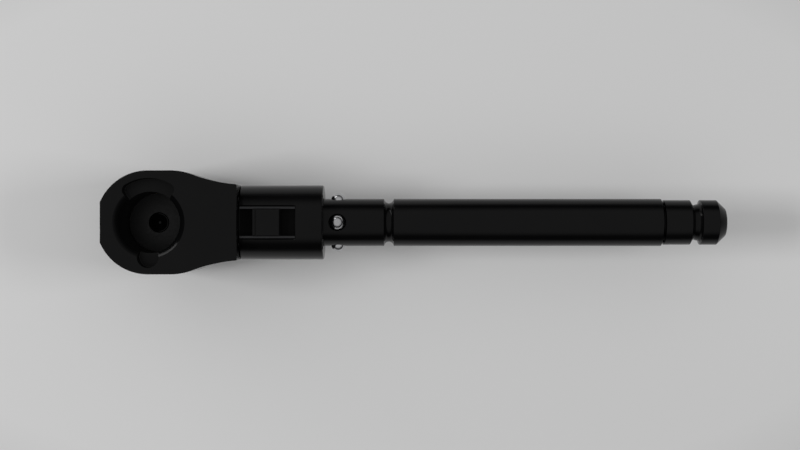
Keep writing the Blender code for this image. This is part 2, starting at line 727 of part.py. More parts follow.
def make_slide(mats):
    """The control slide: a raised block on a foot that runs under the rails."""
    low, high = SLIDE_X
    base, top = SLIDE_Z
    groove = low + 1.0 * MM
    side = [
        (low, base),
        (high, base),
        (high, top - 0.9 * MM),
        (high - 0.3 * MM, top - 0.25 * MM),
        (high - 1.0 * MM, top),
        (groove + 0.4 * MM, top),
        (groove + 0.3 * MM, top - 0.35 * MM),
        (groove, top),
        (low, top),
    ]
    slide = extruded("throttle_slide", side, -SLIDE_HALF, SLIDE_HALF, mats["black"], "Y", TOOL_AXIS)
    inset = 0.02 * MM
    foot = box_outline((-FOOT_HALF, base + inset), (FOOT_HALF, FOOT_TOP))
    plate = extruded("add_slide_foot", foot, low + inset, high - inset, None, "X", TOOL_AXIS)
    cut(slide, plate, operation="UNION")


def make_shank(mats):
    start, end = SHANK_X
    groove = groove_profile(GROOVE_X, GROOVE_HALF, SHANK_R, GROOVE_DEPTH)
    seat = end - 18 * MM
    shape = [(SHANK_BORE_R, start), (SHANK_R, start)] + groove
    shape += [(SHANK_R, end - 0.5 * MM), (SHANK_R - 0.5 * MM, end), (8.7 * MM, end)]
    shape += [(8.7 * MM, seat), (SHANK_BORE_R, seat)]
    tube = turned("shank_tube", shape, mats["black"], segments=32)
    hole_r = BALL_R + 0.3 * MM
    flare_r, reach = hole_r + 0.45 * MM, 13 * MM
    half = [(hole_r, SHANK_R - 0.6 * MM), (flare_r, SHANK_R + 0.1 * MM), (flare_r, reach), (0, reach)]
    through = [(r, -z) for r, z in reversed(half)] + half
    place = TOOL_AXIS + Vector((BALL_X, 0, 0))
    upright = turned("cut_balls_z", through, None, axis="Z", segments=20, location=place)
    level = turned("cut_balls_y", through, None, axis="Z", segments=20, location=place)
    level.rotation_euler = (pi / 2, 0, 0)
    cut(tube, upright, level)


def groove_profile(centre, half, outer, depth):
    """Points of a round-bottomed groove in a turned profile."""
    radius = (half**2 + depth**2) / (2 * depth)
    sweep = asin(half / radius)
    steps = 5
    points = []
    for i in range(steps + 1):
        angle = -sweep + 2 * sweep * i / steps
        points.append((outer - depth + radius * (1 - cos(angle)), centre + radius * sin(angle)))
    return points


def make_ball_cage(mats):
    low, high = BALL_X - 5.6 * MM, BALL_X + 5.6 * MM
    cage = turned("ball_cage", ring_profile(2.6 * MM, 7.0 * MM, low, high), mats["steel"], segments=24)
    pocket = [
        (0, 3.2 * MM),
        (2.3 * MM, 3.2 * MM),
        (2.3 * MM, 4.6 * MM),
        (BALL_R + 0.25 * MM, 4.6 * MM),
        (BALL_R + 0.25 * MM, 9 * MM),
        (0, 9 * MM),
    ]
    for number in range(1, 5):
        angle = (number - 1) * pi / 2
        outward = Vector((0, sin(angle), cos(angle)))
        place = TOOL_AXIS + Vector((BALL_X, 0, 0))
        name = f"cut_ball_pocket_{number}"
        cutter = turned(name, pocket, None, axis="Z", segments=16, location=place)
        cutter.rotation_euler = (-angle, 0, 0)
        cut(cage, cutter)
        make_ball(f"detent_ball_{number}", BALL_R, place + outward * BALL_CENTRE_R, mats["ball"])
        coil(
            f"detent_spring_{number}",
            place + outward * 3.6 * MM,
            outward,
            length=3.1 * MM,
            radius=1.8 * MM,
            wire=0.25 * MM,
            turns=3,
            mat=mats["steel"],
        )


def make_inlet(mats):
    """Inlet plug with its quick-connect groove, its seal and its screen."""
    shoulder = SHANK_X[1] + GAP
    nose = 206.5 * MM
    groove = [
        (PLUG_R, 236.0 * MM),
        (PLUG_R - 0.5 * MM, 236.3 * MM),
        (7.8 * MM, 237.0 * MM),
        (7.8 * MM, 238.6 * MM),
        (PLUG_R - 0.6 * MM, 239.4 * MM),
        (PLUG_R, 239.9 * MM),
    ]
    shape = [
        (INLET_R, nose),
        (8.4 * MM, nose),
        (8.4 * MM, 212.0 * MM),
        (6.9 * MM, 212.0 * MM),
        (6.9 * MM, 214.4 * MM),
        (8.4 * MM, 214.4 * MM),
        (8.4 * MM, shoulder),
        (PLUG_R, shoulder),
        *groove,
        (PLUG_R, 247.5 * MM),
        (6.2 * MM, PLUG_END_X - 0.5 * MM),
        (5.4 * MM, PLUG_END_X),
        (INLET_R + 0.5 * MM, PLUG_END_X),
        (INLET_R, PLUG_END_X - 0.6 * MM),
    ]
    turned("inlet_plug", shape, mats["black"], segments=32)
    seal = [(7.8 * MM + y, 213.2 * MM + z) for y, z in hexagon(0.75 * MM)]
    turned("inlet_o_ring", seal, mats["rubber"], segments=20)
    screen = [
        (0, 198.4 * MM),
        (3.0 * MM, 198.4 * MM),
        (5.2 * MM, 205.2 * MM),
        (7.0 * MM, 205.2 * MM),
        (7.0 * MM, 205.8 * MM),
        (4.8 * MM, 205.8 * MM),
        (2.7 * MM, 199.0 * MM),
        (0, 199.0 * MM),
    ]
    turned("inlet_screen", screen, mats["steel"], segments=16)


def main():
    clear_scene()
    mats = make_materials()
    make_head(mats)
    make_anvil(mats)
    make_release(mats)
    make_pawls(mats)
    make_yoke(mats)
    make_crank(mats)
    make_gears(mats)
    make_motor(mats)
    make_collar(mats)
    make_slide(mats)
    make_shank(mats)
    make_ball_cage(mats)
    make_inlet(mats)


main()
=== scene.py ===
"""Looks of the air ratchet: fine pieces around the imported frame, materials, light and camera."""

import json
from math import acos, asin, cos, pi, radians, sin, sqrt

import bmesh
import bpy
from mathutils import Matrix, Vector


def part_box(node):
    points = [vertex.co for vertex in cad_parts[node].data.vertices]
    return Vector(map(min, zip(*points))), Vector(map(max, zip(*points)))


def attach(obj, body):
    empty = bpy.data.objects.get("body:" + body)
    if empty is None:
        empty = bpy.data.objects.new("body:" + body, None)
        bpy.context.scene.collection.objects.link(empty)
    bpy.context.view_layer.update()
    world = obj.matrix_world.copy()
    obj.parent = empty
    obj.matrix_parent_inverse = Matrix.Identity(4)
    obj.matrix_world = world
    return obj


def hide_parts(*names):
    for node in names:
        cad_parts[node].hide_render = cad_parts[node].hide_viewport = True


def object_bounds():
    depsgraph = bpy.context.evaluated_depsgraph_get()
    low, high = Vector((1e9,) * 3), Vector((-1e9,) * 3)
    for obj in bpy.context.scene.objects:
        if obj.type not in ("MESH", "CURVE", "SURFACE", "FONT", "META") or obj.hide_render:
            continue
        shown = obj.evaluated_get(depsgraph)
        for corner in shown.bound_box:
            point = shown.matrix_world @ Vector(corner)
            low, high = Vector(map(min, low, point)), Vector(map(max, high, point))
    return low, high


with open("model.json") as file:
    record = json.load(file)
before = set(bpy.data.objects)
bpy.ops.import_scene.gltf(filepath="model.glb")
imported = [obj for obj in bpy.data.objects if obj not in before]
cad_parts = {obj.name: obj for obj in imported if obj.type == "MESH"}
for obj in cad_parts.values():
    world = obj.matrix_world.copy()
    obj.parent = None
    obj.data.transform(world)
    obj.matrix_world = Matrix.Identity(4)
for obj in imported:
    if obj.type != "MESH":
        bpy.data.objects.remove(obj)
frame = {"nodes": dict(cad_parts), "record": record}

MM = 0.001
CAD_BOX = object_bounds()

# Places and sizes read from the frame
HEAD_LOW, HEAD_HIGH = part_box("head_housing")
COVER_LOW, COVER_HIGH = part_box("bottom_cover")
ANVIL_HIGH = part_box("drive_anvil")[1]
BUTTON_LOW, BUTTON_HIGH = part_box("release_button")
COLLAR_LOW, COLLAR_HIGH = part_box("collar")
SLIDE_LOW, SLIDE_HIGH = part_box("throttle_slide")
SEAL_LOW, SEAL_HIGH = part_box("slide_seal")
RAIL_LOW, RAIL_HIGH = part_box("slide_rail_1")
TUBE_LOW, TUBE_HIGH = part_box("shank_tube")
PLUG_LOW, PLUG_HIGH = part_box("inlet_plug")
BALL_LOW, BALL_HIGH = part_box("detent_ball_1")
AXIS_Z = (TUBE_LOW.z + TUBE_HIGH.z) / 2
TOOL_AXIS = Vector((0, 0, AXIS_Z))
HEAD_TOP = HEAD_HIGH.z - AXIS_Z
HEAD_R = HEAD_HIGH.y
NOSE_X = HEAD_LOW.x
HEAD_END_X = HEAD_HIGH.x
COLLAR_R = COLLAR_HIGH.y
TUBE_R = TUBE_HIGH.y
PLUG_R = PLUG_HIGH.y
BALL_X = (BALL_LOW.x + BALL_HIGH.x) / 2
BALL_R = (BALL_HIGH.z - BALL_LOW.z) / 2

# Shape details that the frame's boxes don't give
NOSE_CENTRE_X = -0.3 * MM
STRAIGHT_END_X = 9.4 * MM
SHOULDER_R = 26.6 * MM
WAIST_X = 18.8 * MM
WAIST_R = 69.6 * MM
WELL_R = 13.3 * MM
WELL_MOUTH_R = 15.45 * MM
WELL_MOUTH_DEPTH = 1.9 * MM
LOBE_DEPTH = 5.5 * MM
LOBE_CENTRE_R = 16.2 * MM
LOBE_R = 2.8 * MM
LOBE_ANGLES = (radians(60), radians(121.5))
LOBE_SPREAD = radians(13)
NOTCH_PLACE = (-0.3 * MM, -14.9 * MM)
NOTCH_R = 4.6 * MM
YOKE_ROOM_R = 17.3 * MM
YOKE_ROOM_TOP = -9.3 * MM
FLANGE_R = 13.2 * MM
RING_BOTTOM = -15.1 * MM
JOURNAL_R = 9.3 * MM
DRIVE_HALF = 6.35 * MM
DRIVE_CORNER_R = 8.3 * MM
SLOT_END_X = 62.8 * MM
SLOT_HALF = 7.0 * MM
SLOT_MOUTH_HALF = 7.45 * MM
SLOT_FLOOR = 11.75 * MM
SLIDE_HALF = 5.72 * MM
RAIL_INNER_Y = 5.85 * MM
FOOT_TOP = 13.2 * MM
BORE_R = 10.75 * MM
SCOOP_R = 5.0 * MM
SCOOP_X = 64.65 * MM
SHANK_BORE_R = 7.3 * MM
GROOVE_X = 103.1 * MM
GROOVE_HALF = 2.1 * MM
GROOVE_DEPTH = 1.9 * MM
TUBE_MOUTH_R = 9.0 * MM
TUBE_SEAT_R = 8.7 * MM
TUBE_SEAT_LENGTH = 18 * MM
BALL_GAP = 0.3 * MM
SPIGOT_R = 8.4 * MM
O_RING_SEAT_R = 6.9 * MM
O_RING_SEAT = (212.0 * MM, 214.4 * MM)
INLET_R = 3.6 * MM
COVER_HOLE_R = 9.6 * MM
ANVIL_BORE_R = 4.5 * MM
ANVIL_NARROW_BORE_R = 2.6 * MM


# ---------------------------------------------------------------- mesh tools


def new_object(name, bm, location=(0, 0, 0)):
    bmesh.ops.remove_doubles(bm, verts=bm.verts, dist=1e-7)
    bmesh.ops.recalc_face_normals(bm, faces=bm.faces)
    mesh = bpy.data.meshes.new(name)
    bm.to_mesh(mesh)
    bm.free()
    obj = bpy.data.objects.new(name, mesh)
    obj.location = location
    bpy.context.scene.collection.objects.link(obj)
    return obj


def turned(name, profile, axis="X", segments=128, location=TOOL_AXIS):
    """A solid turned from a closed profile of (radius, place along axis) points."""
    bm = bmesh.new()
    along_x = axis == "X"
    ring = [bm.verts.new((along, 0, r) if along_x else (r, 0, along)) for r, along in profile]
    edges = [bm.edges.new((a, b)) for a, b in zip(ring, ring[1:] + ring[:1])]
    bmesh.ops.spin(
        bm,
        geom=ring + edges,
        cent=(0, 0, 0),
        axis=(1, 0, 0) if along_x else (0, 0, 1),
        angle=2 * pi,
        steps=segments,
        use_merge=True,
    )
    bmesh.ops.remove_doubles(bm, verts=bm.verts, dist=1e-7)
    bmesh.ops.dissolve_degenerate(bm, edges=bm.edges, dist=1e-7)
    return new_object(name, bm, location)


def lofted(name, rings, location=TOOL_AXIS):
    bm = bmesh.new()
    loops = [[bm.verts.new(point) for point in ring] for ring in rings]
    for lower, upper in zip(loops, loops[1:]):
        for i in range(len(lower)):
            j = (i + 1) % len(lower)
            bm.faces.new((lower[i], lower[j], upper[j], upper[i]))
    bm.faces.new(loops[0])
    bm.faces.new(loops[-1])
    return new_object(name, bm, location)


def stacked(name, outline, levels, axis="Z", location=TOOL_AXIS):
    """Lofts outline(inset) through (inset, level) pairs, so that insets round the end edges."""
    places = {
        "Z": lambda a, b, c: (a, b, c),
        "X": lambda a, b, c: (c, a, b),
        "Y": lambda a, b, c: (a, c, b),
    }
    rings = [[places[axis](a, b, level) for a, b in outline(inset)] for inset, level in levels]
    return lofted(name, rings, location)


def arc(centre, radius, start, end, steps):
    return [
        (
            centre[0] + radius * cos(start + (end - start) * i / steps),
            centre[1] + radius * sin(start + (end - start) * i / steps),
        )
        for i in range(steps + 1)
    ]


def polar(radius, angle):
    return (radius * cos(angle), radius * sin(angle))


def rotated(outline, angle):
    return [(x * cos(angle) - y * sin(angle), x * sin(angle) + y * cos(angle)) for x, y in outline]


def rounded(points, radii, steps=5):
    """A closed outline with each corner rounded to its radius; 0 keeps the corner."""
    result = []
    count = len(points)
    for i, (corner, radius) in enumerate(zip(points, radii)):
        here = Vector(corner)
        before = (Vector(points[i - 1]) - here).normalized()
        after = (Vector(points[(i + 1) % count]) - here).normalized()
        turn = acos(max(-1, min(1, before.dot(after))))
        if radius == 0 or turn > pi - 0.02:
            result.append(corner)
            continue
        reach = radius / sin(turn / 2)
        centre = here + (before + after).normalized() * reach
        length = sqrt(max(reach**2 - radius**2, 0))
        first = here + before * length - centre
        last = here + after * length - centre
        for step in range(steps + 1):
            mixed = first.slerp(last, step / steps)
            result.append(tuple(centre + mixed.normalized() * radius))
    return result


def fillet_levels(low, high, bottom, top, steps=4):
    """(inset, level) pairs of a straight wall with rounded bottom and top edges."""
    levels = []
    for i in range(steps):
        angle = pi / 2 * i / steps
        levels.append((bottom * (1 - sin(angle)), low + bottom * (1 - cos(angle))))
    levels.append((0, low + bottom))
    levels.append((0, high - top))
    for i in range(1, steps + 1):
        angle = pi / 2 * i / steps
        levels.append((top * (1 - cos(angle)), high - top * (1 - sin(angle))))
    return levels


def carve(obj, cutters, operation="DIFFERENCE"):
    """Cuts or joins the helpers into obj for good, then removes them."""
    for cutter in cutters:
        modifier = obj.modifiers.new(cutter.name, "BOOLEAN")
        modifier.operation = operation
        modifier.solver = "EXACT"
        modifier.object = cutter
    graph = bpy.context.evaluated_depsgraph_get()
    bpy.context.view_layer.update()
    mesh = bpy.data.meshes.new_from_object(obj.evaluated_get(graph))
    obj.modifiers.clear()
    obj.data = mesh
    for cutter in cutters:
        bpy.data.objects.remove(cutter, do_unlink=True)
    return obj


def finish_piece(obj, body, slot, mat, *nodes, sharp=20):
    bpy.context.view_layer.update()
    obj.data.transform(obj.matrix_world)
    obj.matrix_world = Matrix.Identity(4)
    obj.data.materials.clear()
    obj.data.materials.append(mat)
    for face in obj.data.polygons:
        face.material_index = 0
    obj.data.shade_smooth()
    obj.data.set_sharp_from_angle(angle=radians(sharp))
    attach(obj, body)
    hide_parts(*nodes)
    return obj


# ---------------------------------------------------------------- head


def head_outline(inset=0.0):
    """Nose flat, round nose, short straight sides, then an ogee down to the neck; inset shrinks it evenly."""
    nose_x, end_x = NOSE_X + inset, HEAD_END_X - inset
    radius = HEAD_R - inset
    nose_angle = acos((NOSE_CENTRE_X - nose_x) / radius)
    upper = arc((NOSE_CENTRE_X, 0), radius, pi - nose_angle, pi / 2, 40)
    shoulder = asin((WAIST_X - STRAIGHT_END_X) / SHOULDER_R)
    convex_centre = (STRAIGHT_END_X, HEAD_R - SHOULDER_R)
    upper += arc(convex_centre, SHOULDER_R - inset, pi / 2, pi / 2 - shoulder, 14)
    waist_y = convex_centre[1] + SHOULDER_R * cos(shoulder)
    concave_centre = (WAIST_X + WAIST_R * sin(shoulder), waist_y + WAIST_R * cos(shoulder))
    waist_r = WAIST_R + inset
    corner = 0.6 * MM
    end_angle = asin((concave_centre[0] - (end_x - corner)) / waist_r)
    upper += arc(concave_centre, waist_r, -pi / 2 - shoulder, -pi / 2 - end_angle, 12)[1:]
    upper += arc((end_x - corner, upper[-1][1] - corner), corner, pi / 2, 0, 4)[1:]
    return upper + [(x, -y) for x, y in reversed(upper)]


def lobe_outline(inset=0.0):
    """A crescent beside the well with rounded outer corners and straight ends towards the well."""
    half = LOBE_R - inset
    start, end = LOBE_ANGLES
    spread = LOBE_SPREAD - inset / WELL_R
    lobe = arc((0, 0), LOBE_CENTRE_R + half, start, end, 30)
    lobe += arc(polar(LOBE_CENTRE_R, end), half, end, end + pi * 0.45, 10)[1:]
    lobe += arc((0, 0), WELL_R - 1.5 * MM, end + spread, start - spread, 20)
    lobe += arc(polar(LOBE_CENTRE_R, start), half, start - pi * 0.45, start, 10)[:-1]
    return lobe


def notch_outline(inset=0.0):
    return arc(NOTCH_PLACE, NOTCH_R - inset, 0, 2 * pi * 47 / 48, 47)


def recess_levels():
    """Levels of a recess from its floor up through the head's top face, with soft edges."""
    floor, top = HEAD_TOP - LOBE_DEPTH, HEAD_TOP
    soft, flare = 0.35 * MM, 0.22 * MM
    levels = [(soft, floor), (soft * 0.29, floor + soft * 0.29), (0, floor + soft)]
    levels += [(0, top - flare), (-flare * 0.29, top - flare * 0.29), (-flare, top + 0.01 * MM)]
    return levels + [(-flare, top + MM)]


def well_profile():
    top, edge = HEAD_TOP, HEAD_TOP - WELL_MOUTH_DEPTH
    joint = COVER_HIGH.z - AXIS_Z
    return [
        (0, top + MM),
        (WELL_MOUTH_R + 0.35 * MM, top + MM),
        (WELL_MOUTH_R + 0.35 * MM, top + 0.01 * MM),
        (WELL_MOUTH_R + 0.12 * MM, top - 0.04 * MM),
        (WELL_MOUTH_R - 0.12 * MM, top - 0.2 * MM),
        (WELL_R + 0.2 * MM, edge + 0.22 * MM),
        (WELL_R + 0.06 * MM, edge + 0.02 * MM),
        (WELL_R, edge - 0.25 * MM),
        (WELL_R, YOKE_ROOM_TOP),
        (YOKE_ROOM_R, YOKE_ROOM_TOP),
        (YOKE_ROOM_R, joint - 2 * MM),
        (0, joint - 2 * MM),
    ]


def box_outline(low, high):
    def outline(inset=0.0):
        return [
            (low[0] + inset, low[1] + inset),
            (high[0] - inset, low[1] + inset),
            (high[0] - inset, high[1] - inset),
            (low[0] + inset, high[1] - inset),
        ]

    return outline


def crank_room():
    """The stepped bore along the tool axis, from the crank to the joint with the collar."""
    steps = [(12.0, 17.0), (12.0, 29.6), (7.0, 29.6), (7.0, 30.0), (8.3, 30.0), (8.3, 34.6)]
    profile = [(0, 17 * MM)] + [(r * MM, x * MM) for r, x in steps]
    profile += [(BORE_R, 34.6 * MM), (BORE_R, HEAD_END_X + MM), (0, HEAD_END_X + MM)]
    return turned("cut_crank_room", profile, segments=64)


def middle(node):
    low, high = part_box(node)
    return (low + high) / 2


def cover_screw_places():
    centres = [middle(f"cover_screw_{number}") for number in range(1, 5)]
    return [Vector((centre.x, centre.y, AXIS_Z)) for centre in centres]


def body_screw_places():
    centres = [middle(f"body_screw_{number}") for number in range(1, 5)]
    return [Vector((0, centre.y, centre.z)) for centre in centres]


def body_screw_hole(place, number):
    end = COLLAR_HIGH.x
    hole = [
        (0, 31.0 * MM),
        (1.5 * MM, 31.0 * MM),
        (1.5 * MM, end - 3.4 * MM),
        (2.4 * MM, end - 3.4 * MM),
        (2.4 * MM, end - 0.15 * MM),
        (2.55 * MM, end + 0.01 * MM),
        (2.55 * MM, end + MM),
        (0, end + MM),
    ]
    return turned(f"cut_body_screw_{number}", hole, "X", 48, place)


def cover_screw_hole(place, number):
    bottom = COVER_LOW.z - AXIS_Z
    hole = [
        (0, bottom - 0.4 * MM),
        (2.5 * MM, bottom - 0.4 * MM),
        (2.1 * MM, bottom),
        (1.3 * MM, bottom + 0.9 * MM),
        (1.3 * MM, bottom + 9.5 * MM),
        (0, bottom + 9.5 * MM),
    ]
    return turned(f"cut_cover_screw_{number}", hole, "Z", 48, place)


def make_head(mat):
    joint = HEAD_LOW.z - AXIS_Z
    levels = fillet_levels(joint, HEAD_TOP, 0.25 * MM, 0.45 * MM)
    shell = stacked("head_shell", head_outline, levels)
    below = joint - MM
    pocket_high = (28.6 * MM, 9.6 * MM)
    arm_room = box_outline((8 * MM, -9.6 * MM), pocket_high)
    fork_room = box_outline((17 * MM, -9.6 * MM), pocket_high)
    cutters = [
        turned("cut_well", well_profile(), "Z", 144),
        stacked("cut_lobe", lobe_outline, recess_levels()),
        stacked("cut_notch", notch_outline, recess_levels()),
        crank_room(),
        stacked("cut_arm_room", arm_room, [(0, below), (0, YOKE_ROOM_TOP)]),
        stacked("cut_fork_room", fork_room, [(0, below), (0, 0)]),
    ]
    cutters += [cover_screw_hole(place, i) for i, place in enumerate(cover_screw_places(), 1)]
    cutters += [body_screw_hole(place, i) for i, place in enumerate(body_screw_places(), 1)]
    carve(shell, cutters)
    finish_piece(shell, "body", "gloss_black", mat, "head_housing")


def make_cover(mats):
    bottom, joint = COVER_LOW.z - AXIS_Z, COVER_HIGH.z - AXIS_Z
    plate = stacked("head_cover", head_outline, fillet_levels(bottom, joint, 0.5 * MM, 0.2 * MM))
    soft = 0.3 * MM
    hole = [
        (0, bottom - MM),
        (COVER_HOLE_R + soft, bottom - MM),
        (COVER_HOLE_R + soft, bottom - 0.01 * MM),
        (COVER_HOLE_R, bottom + soft),
        (COVER_HOLE_R, joint + MM),
        (0, joint + MM),
    ]
    places = cover_screw_places()
    cutters = [turned("cut_cover_hole", hole, "Z", 96)]
    cutters += [cover_screw_hole(place, i) for i, place in enumerate(places, 1)]
    carve(plate, cutters)
    finish_piece(plate, "body", "gloss_black", mats["black"], "bottom_cover")
    for number, place in enumerate(places, 1):
        shape = [
            (0, bottom + 0.12 * MM),
            (1.6 * MM, bottom + 0.1 * MM),
            (1.75 * MM, bottom + 0.18 * MM),
            (1.0 * MM, bottom + 0.95 * MM),
            (1.0 * MM, bottom + 9.0 * MM),
            (0, bottom + 9.0 * MM),
        ]
        screw = turned(f"cover_screw_{number}_fine", shape, "Z", 48, place)
        carve(screw, [hex_socket(0.75 * MM, bottom - MM, bottom + 0.8 * MM, "Z", place)])
        finish_piece(screw, "body", "dark_steel", mats["dark_steel"], f"cover_screw_{number}")


def hex_socket(radius, low, high, axis, place):
    def outline(inset):
        return arc((0, 0), radius - inset, 0, 2 * pi * 5 / 6, 5)

    return stacked("cut_hex_socket", outline, [(0, low), (0, high)], axis, place)


# ---------------------------------------------------------------- drive


def square_outline(half, corner_r, steps=5):
    """A square with rounded, turned-down corners."""
    flat = sqrt(corner_r**2 - half**2)
    edge = asin(flat / corner_r)
    outline = []
    for turn in range(4):
        corner = arc((0, 0), corner_r, edge, pi / 2 - edge, steps)
        outline += rotated(corner, turn * pi / 2)
    return outline


def anvil_core(top, journal_end):
    """The turned part of the anvil: two flanges that hold the pawls, and the journal in the cover."""
    soft = 0.3 * MM
    corners = [
        (0, top),
        (FLANGE_R, top),
        (FLANGE_R, top - MM),
        (6.5 * MM, top - MM),
        (6.5 * MM, RING_BOTTOM + MM),
        (13.0 * MM, RING_BOTTOM + MM),
        (13.0 * MM, RING_BOTTOM),
        (JOURNAL_R, RING_BOTTOM),
        (JOURNAL_R, journal_end),
        (0, journal_end),
    ]
    radii = [0, 0.08 * MM, soft, 0, 0, soft, soft, 0, 0.4 * MM, 0]
    return turned("drive_anvil_fine", rounded(corners, radii), "Z", 144)


def anvil_bore(top, tip):
    """The stepped bore in which the button and its spring sit."""
    step, end = -16.4 * MM, tip + 2.4 * MM
    bore = [
        (0, top + MM),
        (4.6 * MM, top + MM),
        (4.6 * MM, top + 0.01 * MM),
        (ANVIL_BORE_R, top - 0.1 * MM),
        (ANVIL_BORE_R, step),
        (ANVIL_NARROW_BORE_R, step),
        (ANVIL_NARROW_BORE_R, end),
        (0, end),
    ]
    return turned("cut_anvil_bore", bore, "Z", 72)


def anvil_ball_hole(level):
    hole = [
        (0, 1.5 * MM),
        (2.35 * MM, 1.5 * MM),
        (2.35 * MM, DRIVE_HALF - 0.15 * MM),
        (2.55 * MM, DRIVE_HALF + 0.05 * MM),
        (2.55 * MM, 9 * MM),
        (0, 9 * MM),
    ]
    return turned("cut_ball_hole", hole, "X", 48, Vector((0, 0, level)))


def make_drive(mats):
    top = ANVIL_HIGH.z - AXIS_Z
    tip = -AXIS_Z
    journal_end = COVER_LOW.z - AXIS_Z - 0.5 * MM
    anvil = anvil_core(top, journal_end)
    square = [
        (1.1 * MM, tip),
        (0.55 * MM, tip + 0.2 * MM),
        (0.2 * MM, tip + 0.6 * MM),
        (0, tip + 1.3 * MM),
        (0, journal_end + 1.2 * MM),
    ]
    rings = []
    for inset, level in square:
        outline = square_outline(DRIVE_HALF - inset, DRIVE_CORNER_R - inset)
        rings.append([(x, y, level) for x, y in outline])
    carve(anvil, [lofted("add_square", rings)], "UNION")
    cutters = [anvil_bore(top, tip), anvil_ball_hole(middle("socket_detent_ball").z)]
    for number in (1, 2):
        place = Vector((middle(f"pawl_pin_{number}").x, 0, AXIS_Z))
        pin_hole = [(0, RING_BOTTOM - MM), (1.3 * MM, RING_BOTTOM - MM)]
        pin_hole += [(1.3 * MM, top - 0.45 * MM), (0, top - 0.45 * MM)]
        cutters.append(turned(f"cut_pawl_pin_{number}", pin_hole, "Z", 24, place))
    carve(anvil, cutters)
    finish_piece(anvil, "drive", "black_oxide", mats["oxide"], "drive_anvil")
    make_button(mats, top)
    ball = make_sphere("socket_ball_fine", "socket_detent_ball")
    finish_piece(ball, "socket_ball", "polished_ball", mats["ball"], "socket_detent_ball")


def make_button(mats, top):
    """Deeply dished button with a small flat at its centre, its waist and its foot."""
    neck = middle("socket_detent_ball").z + 2.0 * MM - AXIS_Z
    foot = BUTTON_LOW.z - AXIS_Z
    radius = BUTTON_HIGH.x
    flat_r, dish_r = 0.55 * MM, 3.8 * MM
    dish = [(0, top - 3.1 * MM)]
    for step in range(7):
        t = step / 6
        dish.append((flat_r + (dish_r - flat_r) * t, top - (3.1 - 2.6 * t**1.3) * MM))
    shape = dish + [
        (radius - 0.12 * MM, top - 0.55 * MM),
        (radius, top - 0.8 * MM),
        (radius, top - 3.5 * MM),
        (radius - 0.2 * MM, top - 3.7 * MM),
        (2.2 * MM, top - 3.7 * MM),
        (2.2 * MM, neck + 1.5 * MM),
        (1.4 * MM, neck + 1.2 * MM),
        (1.4 * MM, neck - 1.2 * MM),
        (2.2 * MM, neck - 1.5 * MM),
        (2.2 * MM, foot + 0.3 * MM),
        (1.9 * MM, foot),
        (0, foot),
    ]
    button = turned("release_button_fine", shape, "Z", 72)
    finish_piece(button, "button", "black_oxide", mats["black"], "release_button")


def make_sphere(name, node):
    """A smooth ball in the place of the faceted one."""
    low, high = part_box(node)
    bm = bmesh.new()
    bmesh.ops.create_uvsphere(bm, u_segments=48, v_segments=32, radius=(high.z - low.z) / 2)
    return new_object(name, bm, (low + high) / 2)


# ---------------------------------------------------------------- collar and slide


def slot_outline(inset=0.0):
    """The slot's section: upright walls and a sloping mouth with soft edges."""
    half, mouth_half = SLOT_HALF - inset, SLOT_MOUTH_HALF - inset
    mouth = sqrt(COLLAR_R**2 - SLOT_MOUTH_HALF**2)
    slope = mouth - (SLOT_MOUTH_HALF - SLOT_HALF)
    flare = 0.35 * MM
    rise = COLLAR_R + MM - mouth
    right = [
        (half, SLOT_FLOOR),
        (half, slope - 0.25 * MM),
        (half + 0.07 * MM, slope),
        (half + 0.25 * MM, slope + 0.25 * MM),
        (mouth_half - 0.15 * MM, mouth - 0.15 * MM),
        (mouth_half + 0.05 * MM, mouth),
        (mouth_half + flare, mouth + 0.1 * MM),
        (mouth_half + flare + rise, mouth + rise),
    ]
    return right + [(-y, z) for y, z in reversed(right)]


def slot_levels():
    """The slot runs out through the collar's front face and ends with round corners at the back."""
    corner = 0.9 * MM
    levels = [(0, COLLAR_LOW.x - MM), (0, SLOT_END_X - corner)]
    for step in range(1, 7):
        angle = pi / 2 * step / 6
        levels.append((corner * (1 - cos(angle)), SLOT_END_X - corner * (1 - sin(angle))))
    return levels


def exhaust_cutters(name, start, end, inner, half):
    cutters = []
    outline = arc((end - half, 0), half, -pi / 2, pi / 2, 10)
    outline += arc((start + half, 0), half, pi / 2, pi * 3 / 2, 10)
    for number, angle in enumerate((-112, -90, -68), 1):
        rings = []
        for out in (inner, 20 * MM):
            ring = []
            for x, across in outline:
                y, z = rotated([(out, across)], radians(angle))[0]
                ring.append((x, y, z))
            rings.append(ring)
        cutters.append(lofted(f"cut_{name}_exhaust_{number}", rings))
    return cutters


def scoop_outline(inset):
    """The round cutter of the shallow thumb scoop behind the slot."""
    return arc((SCOOP_X, COLLAR_R + SCOOP_R - 0.45 * MM), SCOOP_R - inset, 0, 2 * pi * 63 / 64, 63)


def make_collar(mats):
    front, end = COLLAR_LOW.x, COLLAR_HIGH.x
    profile = rounded(
        [(BORE_R, front), (COLLAR_R, front), (COLLAR_R, end), (BORE_R, end)],
        [0.2 * MM, 0.2 * MM, 0.7 * MM, 0.25 * MM],
    )
    collar = turned("collar_fine", profile, segments=160)
    cutters = [
        stacked("cut_slot", slot_outline, slot_levels(), "X"),
        stacked("cut_scoop", scoop_outline, [(0, -4.2 * MM), (0, 4.2 * MM)], "Y"),
    ]
    cutters += exhaust_cutters("collar", 49 * MM, 61 * MM, 8 * MM, 1.1 * MM)
    places = body_screw_places()
    cutters += [body_screw_hole(place, i) for i, place in enumerate(places, 1)]
    carve(collar, cutters)
    finish_piece(collar, "body", "gloss_black", mats["black"], "collar")
    for number, place in enumerate(places, 1):
        make_body_screw(number, place, end, mats["dark_steel"])


